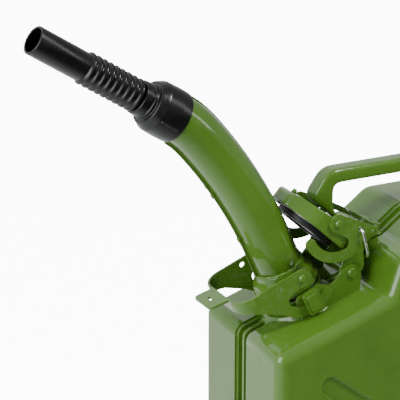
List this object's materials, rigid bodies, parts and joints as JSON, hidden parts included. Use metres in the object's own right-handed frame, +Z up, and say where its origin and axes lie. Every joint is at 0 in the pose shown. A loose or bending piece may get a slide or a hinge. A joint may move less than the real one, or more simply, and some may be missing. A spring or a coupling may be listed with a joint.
{
  "type": "steel fuel can with pouring spout",
  "caption": "Small pressed-steel jerry can with a carrying handle, its flip cap open and a curved pouring spout with a flexible nozzle clamped on the neck.",
  "frame": {"origin": "middle of the can's flat base, on the floor", "axes": "+Z up; +X from the neck end to the rear wall; +Y across the can, away from the side the safety pin hangs on"},
  "size_m": [0.3917, 0.118, 0.442],
  "materials": {
    "green_paint": "glossy olive-green enamel over pressed steel",
    "green_fittings": "glossy olive-green enamel, worn at the edges of the fittings",
    "weld": "rough weld bead under green enamel",
    "bright_steel": "bare zinc-plated steel",
    "pin_chrome": "bright plated wire",
    "gasket_rubber": "black fuel-proof rubber",
    "nozzle_plastic": "black flexible plastic with a satin surface",
    "gauze_steel": "perforated bare steel"
  },
  "bodies": {
    "can": {"body_half_near": "green_paint", "body_half_far": "green_paint", "seam_weld": "weld", "neck_collar": "green_paint", "neck_foot": "weld", "neck_bracket": "green_fittings", "side_catches": "green_fittings", "cap_hinge_pin": "green_fittings", "vent_pipe": "bright_steel", "handle": "green_paint", "spout_gasket": "gasket_rubber", "spout_base": "green_fittings", "strainer_disc": "gauze_steel", "spout_half_near": "green_paint", "spout_half_far": "green_paint", "spout_air_pipe": "bright_steel", "spout_lever_rivets": "green_fittings", "nozzle_cuff": "nozzle_plastic", "nozzle_bellows": "nozzle_plastic"},
    "cap": {"cap_gasket": "gasket_rubber", "cap_disc": "bright_steel", "cap_arm": "green_fittings", "cap_studs": "green_fittings", "cap_lever_rivets": "green_fittings"},
    "cap_lever": {"cap_lever": "green_fittings"},
    "safety_pin": {"safety_pin": "pin_chrome"},
    "spout_lever": {"spout_lever": "green_fittings"},
    "nozzle_tip": {"nozzle_tip": "nozzle_plastic"}
  },
  "joints": [
    {"name": "cap_hinge", "type": "hinge", "parent": "can", "child": "cap", "pos_m": [-0.0358, 0, 0.23429], "axis": [0, 1, 0], "range_deg": [-1, 2]},
    {"name": "cap_lever_hinge", "type": "hinge", "parent": "cap", "child": "cap_lever", "pos_m": [-0.04936, 0, 0.2756], "axis": [0, -1, 0], "range_deg": [0, 30]},
    {"name": "safety_pin_swing", "type": "hinge", "parent": "cap_lever", "child": "safety_pin", "pos_m": [-0.03081, 0, 0.26845], "axis": [0, 1, 0], "range_deg": [-10, 15]},
    {"name": "spout_lever_hinge", "type": "hinge", "parent": "can", "child": "spout_lever", "pos_m": [-0.07909, 0, 0.23833], "axis": [0, 1, 0], "range_deg": [0, 50]},
    {"name": "nozzle_bend", "type": "hinge", "parent": "can", "child": "nozzle_tip", "pos_m": [-0.21671, 0, 0.39742], "axis": [0, 1, 0], "range_deg": [-25, 25], "stiffness_Nm_per_rad": 0.6, "deforming": ["nozzle_bellows"]}
  ]
}
